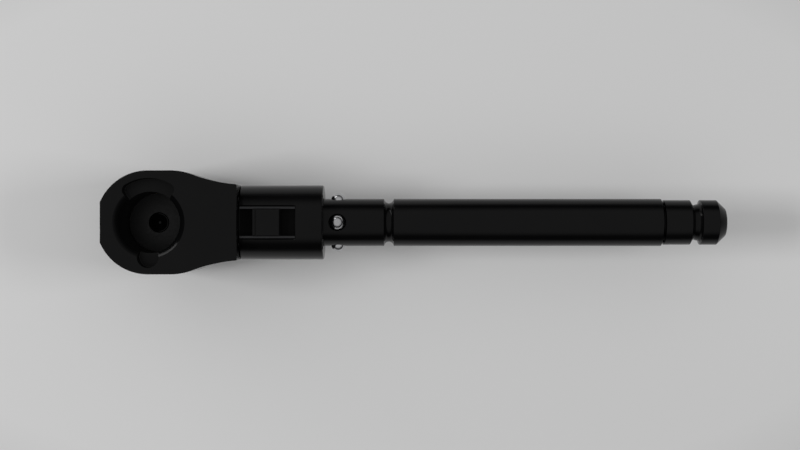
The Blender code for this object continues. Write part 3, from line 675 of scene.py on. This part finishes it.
def make_body_screw(number, place, end, mat):
    """A cap screw sunk into the collar's back face."""
    head_end = end - 0.4 * MM
    shape = [
        (0, 31.6 * MM),
        (1.2 * MM, 31.6 * MM),
        (1.2 * MM, end - 3.0 * MM),
        (2.1 * MM, end - 3.0 * MM),
        (2.1 * MM, head_end),
        (0, head_end),
    ]
    radii = [0, 0.3 * MM, 0, 0.1 * MM, 0.25 * MM, 0]
    screw = turned(f"body_screw_{number}_fine", rounded(shape, radii, 3), "X", 48, place)
    carve(screw, [hex_socket(1.15 * MM, end - 1.8 * MM, end + MM, "X", place)])
    finish_piece(screw, "body", "dark_steel", mat, f"body_screw_{number}")


def make_slot_lining(mats):
    """The seal on the slot's floor and the two rails that hold the slide's foot down."""
    start, end = SEAL_LOW.x, SEAL_HIGH.x
    seal_low = (SEAL_LOW.y, SEAL_LOW.z - AXIS_Z)
    seal_high = (SEAL_HIGH.y, SEAL_HIGH.z - AXIS_Z)
    soft = 0.1 * MM
    levels = fillet_levels(start, end, soft, soft, 2)
    seal = stacked("slide_seal_fine", box_outline(seal_low, seal_high), levels, "X")
    # The seal is a real part; its near-black finish is painted shade of the slot's floor
    finish_piece(seal, "body", "seal_rubber", mats["seal"], "slide_seal")
    outer_y = SLOT_HALF - 0.15 * MM
    bottom, top = RAIL_LOW.z - AXIS_Z, RAIL_HIGH.z - AXIS_Z
    for number, side in enumerate((1, -1), 1):
        near, far = sorted((RAIL_INNER_Y * side, outer_y * side))
        section = rounded([(near, bottom), (far, bottom), (far, top), (near, top)], [0.12 * MM] * 4, 3)
        rail = lofted(f"slide_rail_{number}_fine", [[(x, y, z) for y, z in section] for x in (start, end)])
        finish_piece(rail, "body", "dark_steel", mats["rail"], f"slide_rail_{number}")


def make_slide(mats):
    """The raised block, its finger groove near the front, and the foot that runs under the rails."""
    low, high = SLIDE_LOW.x, SLIDE_HIGH.x
    base, top = SLIDE_LOW.z - AXIS_Z, SLIDE_HIGH.z - AXIS_Z
    groove = low + 1.0 * MM
    corners = [
        (low, base),
        (high, base),
        (high, top - 1.0 * MM),
        (high - 1.1 * MM, top),
        (groove + 0.55 * MM, top),
        (groove + 0.3 * MM, top - 0.22 * MM),
        (groove, top),
        (low, top),
    ]
    radii = [0, 0, 0.5 * MM, 0.9 * MM, 0.08 * MM, 0.1 * MM, 0.08 * MM, 0.25 * MM]
    side = rounded(corners, radii, 4)
    centre_x, centre_z = (low + high) / 2, (base + top) / 2

    def outline(inset):
        scale_x = 1 - inset / (high - centre_x)
        scale_z = 1 - inset / (top - centre_z)
        return [(centre_x + (x - centre_x) * scale_x, centre_z + (z - centre_z) * scale_z) for x, z in side]

    soft = 0.25 * MM
    levels = fillet_levels(-SLIDE_HALF, SLIDE_HALF, soft, soft, 3)
    slide = stacked("throttle_slide_fine", outline, levels, "Y")
    foot_half = SLIDE_HIGH.y
    foot = box_outline((-foot_half, base + 0.02 * MM), (foot_half, FOOT_TOP - 0.02 * MM))
    levels = fillet_levels(low + 0.02 * MM, high - 0.02 * MM, 0.1 * MM, 0.1 * MM, 2)
    carve(slide, [stacked("add_slide_foot", foot, levels, "X")], "UNION")
    finish_piece(slide, "slide", "black_oxide", mats["black_slide"], "throttle_slide")


# ---------------------------------------------------------------- shank, balls and inlet


def groove_profile(centre, half, outer, depth, steps=16):
    """Points of a round-bottomed groove in a turned profile, with soft shoulders."""
    radius = (half**2 + depth**2) / (2 * depth)
    sweep = asin(half / radius)
    points = [(outer, centre - half - 0.3 * MM), (outer - 0.06 * MM, centre - half - 0.1 * MM)]
    for i in range(1, steps):
        angle = -sweep + 2 * sweep * i / steps
        points.append((outer - depth + radius * (1 - cos(angle)), centre + radius * sin(angle)))
    points += [(outer - 0.06 * MM, centre + half + 0.1 * MM), (outer, centre + half + 0.3 * MM)]
    return points


def make_shank(mats):
    """The tube, two crossed holes that taper out to the surface, and the four balls in them."""
    start, end = TUBE_LOW.x, TUBE_HIGH.x
    seat = end - TUBE_SEAT_LENGTH
    shape = [(SHANK_BORE_R, start), (TUBE_R, start)]
    shape += groove_profile(GROOVE_X, GROOVE_HALF, TUBE_R, GROOVE_DEPTH)
    shape += [
        (TUBE_R, end - 0.85 * MM),
        (TUBE_R - 0.05 * MM, end - 0.72 * MM),
        (TUBE_MOUTH_R + 0.05 * MM, end - 0.04 * MM),
        (TUBE_MOUTH_R, end),
        (TUBE_SEAT_R, end),
        (TUBE_SEAT_R, seat),
        (SHANK_BORE_R, seat),
    ]
    tube = turned("shank_tube_fine", shape, segments=144)
    hole_r = BALL_R + BALL_GAP
    mouth_r = hole_r + 0.42 * MM
    reach = 13 * MM
    right = [
        (hole_r, TUBE_R - 1.9 * MM),
        (mouth_r, TUBE_R + 0.1 * MM),
        (mouth_r, reach),
    ]
    through = [(0, -reach)] + [(r, -z) for r, z in reversed(right)] + right + [(0, reach)]
    place = TOOL_AXIS + Vector((BALL_X, 0, 0))
    upright = turned("cut_balls_z", through, "Z", 72, place)
    level = turned("cut_balls_y", through, "Z", 72, place)
    level.rotation_euler = (pi / 2, 0, 0)
    carve(tube, [upright, level])
    finish_piece(tube, "body", "gloss_black", mats["black_turned"], "shank_tube")
    for number in range(1, 5):
        ball = make_sphere(f"detent_ball_{number}_fine", f"detent_ball_{number}")
        finish_piece(ball, f"ball_{number}", "polished_ball", mats["ball"], f"detent_ball_{number}")


def make_plug(mats):
    """Inlet plug with its quick-connect groove and its chamfered, bored end; radii are in millimetres."""
    nose, end = PLUG_LOW.x, PLUG_HIGH.x
    shoulder = TUBE_HIGH.x + 0.3 * MM
    corners = [
        (TUBE_MOUTH_R, shoulder, 0.05),
        (PLUG_R, shoulder + 0.25 * MM, 0.08),
        (PLUG_R, 235.8 * MM, 0.25),
        (7.6 * MM, 237.3 * MM, 0.5),
        (8.1 * MM, 239.4 * MM, 0.4),
        (8.7 * MM, 240.1 * MM, 0.2),
        (PLUG_R, 240.45 * MM, 0.2),
        (PLUG_R, 247.5 * MM, 0.5),
        (6.3 * MM, end - 0.35 * MM, 0.5),
        (5.2 * MM, end, 0.3),
        (INLET_R, end, 0.5),
        (INLET_R, nose, 0),
        (SPIGOT_R, nose, 0.3),
        (SPIGOT_R, O_RING_SEAT[0], 0),
        (O_RING_SEAT_R, O_RING_SEAT[0], 0),
        (O_RING_SEAT_R, O_RING_SEAT[1], 0),
        (SPIGOT_R, O_RING_SEAT[1], 0),
        (SPIGOT_R, shoulder, 0),
    ]
    profile = rounded([(r, x) for r, x, _ in corners], [radius * MM for _, _, radius in corners], 6)
    plug = turned("inlet_plug_fine", profile, segments=144)
    finish_piece(plug, "body", "gloss_black", mats["black_turned"], "inlet_plug")


# ---------------------------------------------------------------- materials

BLACK_ROUGHNESS = 0.15
BLACK_SPECULAR = 0.15
RECESS_ROUGHNESS = 0.42
# Inner nodes that show through a gap: whatever steel they're made of, they get the dark oxide look as painted
# shade in the gap
GAP_SHADE_NODES = ("ball_cage", "ring_gear")


def shader_material(name, colour, metallic, roughness, specular=0.5):
    mat = bpy.data.materials.new(name)
    mat.use_nodes = True
    nodes = mat.node_tree.nodes
    shader = nodes["Principled BSDF"]
    shader.inputs["Base Color"].default_value = (*colour, 1)
    shader.inputs["Metallic"].default_value = metallic
    shader.inputs["Roughness"].default_value = roughness
    shader.inputs["Specular IOR Level"].default_value = specular
    return mat, shader


def add_noise(mat, scale, stretch=(1, 1, 1), detail=4.0):
    """Object-space noise, stretched so that it runs as lines along an axis."""
    tree = mat.node_tree
    where = tree.nodes.new("ShaderNodeTexCoord")
    mapping = tree.nodes.new("ShaderNodeMapping")
    mapping.inputs["Scale"].default_value = stretch
    noise = tree.nodes.new("ShaderNodeTexNoise")
    noise.inputs["Scale"].default_value = scale
    noise.inputs["Detail"].default_value = detail
    tree.links.new(where.outputs["Object"], mapping.inputs["Vector"])
    tree.links.new(mapping.outputs["Vector"], noise.inputs["Vector"])
    return noise.outputs["Fac"]


def spread(mat, value, low, high, start=0.3, end=0.7):
    """Maps a value from start..end to low..high."""
    node = mat.node_tree.nodes.new("ShaderNodeMapRange")
    node.inputs["From Min"].default_value = start
    node.inputs["From Max"].default_value = end
    node.inputs["To Min"].default_value = low
    node.inputs["To Max"].default_value = high
    mat.node_tree.links.new(value, node.inputs["Value"])
    return node.outputs["Result"]


def blend_colour(mat, value, first, second):
    node = mat.node_tree.nodes.new("ShaderNodeMix")
    node.data_type = "RGBA"
    node.inputs["A"].default_value = (*first, 1)
    node.inputs["B"].default_value = (*second, 1)
    mat.node_tree.links.new(value, node.inputs["Factor"])
    return node.outputs["Result"]


def add_bump(mat, shader, heights, distance=0.00002):
    """Chains several heights, each with its strength, into the shader's normal."""
    tree = mat.node_tree
    last = None
    for value, strength in heights:
        bump = tree.nodes.new("ShaderNodeBump")
        bump.inputs["Strength"].default_value = strength
        bump.inputs["Distance"].default_value = distance
        tree.links.new(value, bump.inputs["Height"])
        if last:
            tree.links.new(last, bump.inputs["Normal"])
        last = bump.outputs["Normal"]
    tree.links.new(last, shader.inputs["Normal"])


def black_finish(name, stretch, line_strength):
    """Gloss black coating: fine grain, faint cutter lines under it, and slightly uneven gloss."""
    mat, shader = shader_material(name, (0.002, 0.002, 0.002), 0.0, BLACK_ROUGHNESS, BLACK_SPECULAR)
    cloudy = add_noise(mat, 60, detail=3)
    grain = add_noise(mat, 2600, detail=2)
    lines = add_noise(mat, 900, stretch, detail=3)
    link = mat.node_tree.links.new
    gloss = spread(mat, cloudy, BLACK_ROUGHNESS - 0.03, BLACK_ROUGHNESS + 0.03)
    link(gloss, shader.inputs["Roughness"])
    tone = blend_colour(mat, cloudy, (0.0016, 0.0016, 0.0017), (0.0028, 0.0028, 0.0029))
    link(tone, shader.inputs["Base Color"])
    add_bump(mat, shader, [(lines, line_strength), (grain, 0.06)])
    return mat


def below(mat, value, limit):
    """1 where the value is under the limit, else 0."""
    node = mat.node_tree.nodes.new("ShaderNodeMath")
    node.operation = "LESS_THAN"
    node.inputs[1].default_value = limit
    mat.node_tree.links.new(value, node.inputs[0])
    return node.outputs["Value"]


def head_finish():
    """The gloss black, left rough inside the well and its recesses, where no polishing wheel reaches."""
    mat = black_finish("gloss_black_head", (1, 1, 1), 0.04)
    tree = mat.node_tree
    where = tree.nodes.new("ShaderNodeTexCoord")
    split = tree.nodes.new("ShaderNodeSeparateXYZ")
    tree.links.new(where.outputs["Object"], split.inputs[0])
    flat = tree.nodes.new("ShaderNodeVectorMath")
    flat.operation = "MULTIPLY"
    flat.inputs[1].default_value = (1, 1, 0)
    tree.links.new(where.outputs["Object"], flat.inputs[0])
    reach = tree.nodes.new("ShaderNodeVectorMath")
    reach.operation = "LENGTH"
    tree.links.new(flat.outputs["Vector"], reach.inputs[0])
    inside = tree.nodes.new("ShaderNodeMath")
    inside.operation = "MULTIPLY"
    deep = below(mat, split.outputs["Z"], AXIS_Z + HEAD_TOP - WELL_MOUTH_DEPTH - 0.3 * MM)
    tree.links.new(deep, inside.inputs[0])
    tree.links.new(below(mat, reach.outputs["Value"], LOBE_CENTRE_R + LOBE_R + 0.6 * MM), inside.inputs[1])
    shader = tree.nodes["Principled BSDF"]
    gloss = shader.inputs["Roughness"].links[0].from_socket
    mix = tree.nodes.new("ShaderNodeMix")
    tree.links.new(inside.outputs["Value"], mix.inputs["Factor"])
    tree.links.new(gloss, mix.inputs["A"])
    mix.inputs["B"].default_value = RECESS_ROUGHNESS
    tree.links.new(mix.outputs["Result"], shader.inputs["Roughness"])
    return mat


def worked_finish(name, light, dark, roughness, stretch, metallic=1.0, specular=0.5):
    """Machined or moulded stock: directional tool marks and a tone that varies slowly."""
    mat, shader = shader_material(name, light, metallic, roughness, specular)
    cloudy = add_noise(mat, 90, detail=4)
    lines = add_noise(mat, 1200, stretch, detail=3)
    link = mat.node_tree.links.new
    link(spread(mat, lines, roughness - 0.06, roughness + 0.08), shader.inputs["Roughness"])
    link(blend_colour(mat, spread(mat, cloudy, 0, 1), dark, light), shader.inputs["Base Color"])
    add_bump(mat, shader, [(lines, 0.25)])
    return mat


def make_materials():
    around_x = (6, 0.3, 0.3)
    around_z = (1, 1, 6)
    even = (1, 1, 1)
    return {
        "black": black_finish("gloss_black_plain", even, 0.04),
        "black_head": head_finish(),
        "black_turned": black_finish("gloss_black_turned", around_x, 0.06),
        "black_slide": black_finish("gloss_black_slide", (0.4, 5, 1), 0.06),
        # Black oxide of the anvil, also used as painted shade on the inner nodes seen through a gap
        "oxide": worked_finish(
            "black_oxide_and_gap_shade",
            (0.009, 0.009, 0.0095),
            (0.006, 0.006, 0.006),
            0.42,
            around_z,
            metallic=0.0,
            specular=0.28,
        ),
        "rail": worked_finish("oxidised_rail", (0.05, 0.05, 0.052), (0.038, 0.038, 0.04), 0.3, (0.3, 5, 5)),
        # The seal's near-black matt colour, darker than rubber, is painted shade on the slot's floor
        "seal": worked_finish(
            "seal_with_painted_shade",
            (0.0045, 0.0045, 0.0045),
            (0.003, 0.003, 0.003),
            0.85,
            even,
            metallic=0.0,
            specular=0.05,
        ),
        "dark_steel": worked_finish(
            "dark_steel_fine", (0.10, 0.10, 0.105), (0.05, 0.05, 0.052), 0.38, around_x
        ),
        "steel": worked_finish("ground_steel", (0.60, 0.60, 0.61), (0.42, 0.42, 0.43), 0.3, around_x),
        "ball": worked_finish("polished_ball_steel", (0.57, 0.57, 0.58), (0.5, 0.5, 0.51), 0.2, even),
        "bronze": worked_finish("turned_bronze", (0.52, 0.33, 0.15), (0.36, 0.21, 0.09), 0.38, around_x),
        "vane": worked_finish(
            "laminated_vane", (0.16, 0.09, 0.04), (0.09, 0.05, 0.02), 0.6, (0.3, 4, 4), metallic=0.0
        ),
        "rubber": worked_finish(
            "seal_rubber_fine", (0.022, 0.022, 0.022), (0.014, 0.014, 0.014), 0.75, even, metallic=0.0
        ),
    }


def dress_inner_nodes(mats):
    """The CAD nodes that stay get a material for their slot; the nodes seen through a gap get the dark oxide
    instead, as painted shade.
    """
    looks = {
        "bright_steel": "steel",
        "dark_steel": "dark_steel",
        "black_oxide": "oxide",
        "bearing_bronze": "bronze",
        "vane_composite": "vane",
        "seal_rubber": "rubber",
    }
    for entry in frame["record"]["subparts"]:
        node = frame["nodes"][entry["node"]]
        look = looks.get(entry["material_slot"])
        # Painted shade: nodes seen through a gap get the dark oxide look
        if entry["node"] in GAP_SHADE_NODES:
            look = "oxide"
        if look and not node.hide_render:
            node.data.materials.clear()
            node.data.materials.append(mats[look])


# ---------------------------------------------------------------- stage

SKY_BRIGHT = 0.52
SKY_DARK = 0.02
SKY_DARK_BELOW = 0.2
SKY_BRIGHT_ABOVE = 0.68
SKY_TILT = 0.075
FLOOR_REACH = 6.0
FLOOR_GAP = 0.0005
# Colour of the painted shade on the far floor, where the light falls off
FLOOR_FAR_SHADE_COLOUR = (0.12, 0.12, 0.12)
STAGE_X = 0.1
CAMERA_X, CAMERA_Y, CAMERA_HEIGHT = 0.108, -0.00113, 0.639
CAMERA_LENS = 65


def make_floor():
    """A pale sheet, evenly toned round the tool; from 125 mm outwards it is painted darker, as shade where
    the light falls off.
    """
    bm = bmesh.new()
    bmesh.ops.create_grid(bm, x_segments=8, y_segments=8, size=FLOOR_REACH)
    floor = new_object("floor", bm, (STAGE_X, 0, CAD_BOX[0][2] - FLOOR_GAP))
    mat, shader = shader_material("pale_floor", (0.65, 0.65, 0.65), 0.0, 0.9, 0.2)
    tone = add_noise(mat, 2.0, detail=2)
    near = blend_colour(mat, tone, (0.665, 0.665, 0.665), (0.675, 0.675, 0.675))
    tree = mat.node_tree
    where = tree.nodes.new("ShaderNodeTexCoord")
    squeeze = tree.nodes.new("ShaderNodeVectorMath")
    squeeze.operation = "MULTIPLY"
    squeeze.inputs[1].default_value = (0.5, 1, 0)
    reach = tree.nodes.new("ShaderNodeVectorMath")
    reach.operation = "LENGTH"
    tree.links.new(where.outputs["Object"], squeeze.inputs[0])
    tree.links.new(squeeze.outputs["Vector"], reach.inputs[0])
    # Painted shade: the floor darkens from 125 mm out, where the light falls off
    far = spread(mat, reach.outputs["Value"], 0, 1, 0.125, 0.36)
    fall = tree.nodes.new("ShaderNodeMix")
    fall.data_type = "RGBA"
    tree.links.new(far, fall.inputs["Factor"])
    tree.links.new(near, fall.inputs["A"])
    fall.inputs["B"].default_value = (*FLOOR_FAR_SHADE_COLOUR, 1)
    tree.links.new(fall.outputs["Result"], shader.inputs["Base Color"])
    floor.data.materials.append(mat)


def area_light(name, azimuth, elevation, distance, size, power, mirrored=True):
    """A panel that faces the tool from a direction given in degrees; mirrored ones show in gloss."""
    data = bpy.data.lights.new(name, "AREA")
    data.shape = "RECTANGLE"
    data.size, data.size_y = size
    data.energy = power
    lamp = bpy.data.objects.new(name, data)
    flat, up = radians(azimuth), radians(elevation)
    out = Vector((cos(flat) * cos(up), sin(flat) * cos(up), sin(up)))
    lamp.location = Vector((STAGE_X, 0, AXIS_Z)) + out * distance
    lamp.rotation_euler = (-out).to_track_quat("-Z", "Y").to_euler()
    lamp.visible_glossy = mirrored
    bpy.context.scene.collection.objects.link(lamp)


def make_sky():
    """A soft tent of light: bright overhead, dark from the flanks down, tilted a little to +Y."""
    world = bpy.data.worlds.new("light_tent")
    bpy.context.scene.world = world
    world.use_nodes = True
    tree = world.node_tree
    where = tree.nodes.new("ShaderNodeTexCoord")
    height = tree.nodes.new("ShaderNodeVectorMath")
    height.operation = "DOT_PRODUCT"
    height.inputs[1].default_value = (0, sin(SKY_TILT), cos(SKY_TILT))
    ramp = tree.nodes.new("ShaderNodeMapRange")
    ramp.interpolation_type = "SMOOTHSTEP"
    ramp.inputs["From Min"].default_value = SKY_DARK_BELOW
    ramp.inputs["From Max"].default_value = SKY_BRIGHT_ABOVE
    ramp.inputs["To Min"].default_value = SKY_DARK
    ramp.inputs["To Max"].default_value = SKY_BRIGHT
    tree.links.new(where.outputs["Generated"], height.inputs[0])
    tree.links.new(height.outputs["Value"], ramp.inputs["Value"])
    tree.links.new(ramp.outputs["Result"], tree.nodes["Background"].inputs["Strength"])
    tree.nodes["Background"].inputs["Color"].default_value = (1, 1, 1, 1)


def make_light():
    make_sky()
    area_light("head_side_panel", 180, 40, 1.8, (0.5, 0.5), 13.2, mirrored=False)
    area_light("tail_side_panel", 0, 40, 1.8, (0.5, 0.5), 6.6, mirrored=False)
    area_light("low_key_panel", 130, 12, 1.6, (1.2, 0.3), 3.3)


def make_camera():
    data = bpy.data.cameras.new("camera")
    data.lens = CAMERA_LENS
    data.sensor_width = 36
    data.clip_start = 0.01
    camera = bpy.data.objects.new("camera", data)
    camera.location = (CAMERA_X, CAMERA_Y, AXIS_Z + CAMERA_HEIGHT)
    bpy.context.scene.collection.objects.link(camera)
    bpy.context.scene.camera = camera


def main():
    mats = make_materials()
    make_head(mats["black_head"])
    make_cover(mats)
    make_drive(mats)
    make_collar(mats)
    make_slot_lining(mats)
    make_slide(mats)
    make_shank(mats)
    make_plug(mats)
    dress_inner_nodes(mats)
    make_floor()
    make_light()
    make_camera()
    bpy.context.scene.view_settings.view_transform = "Standard"


main()
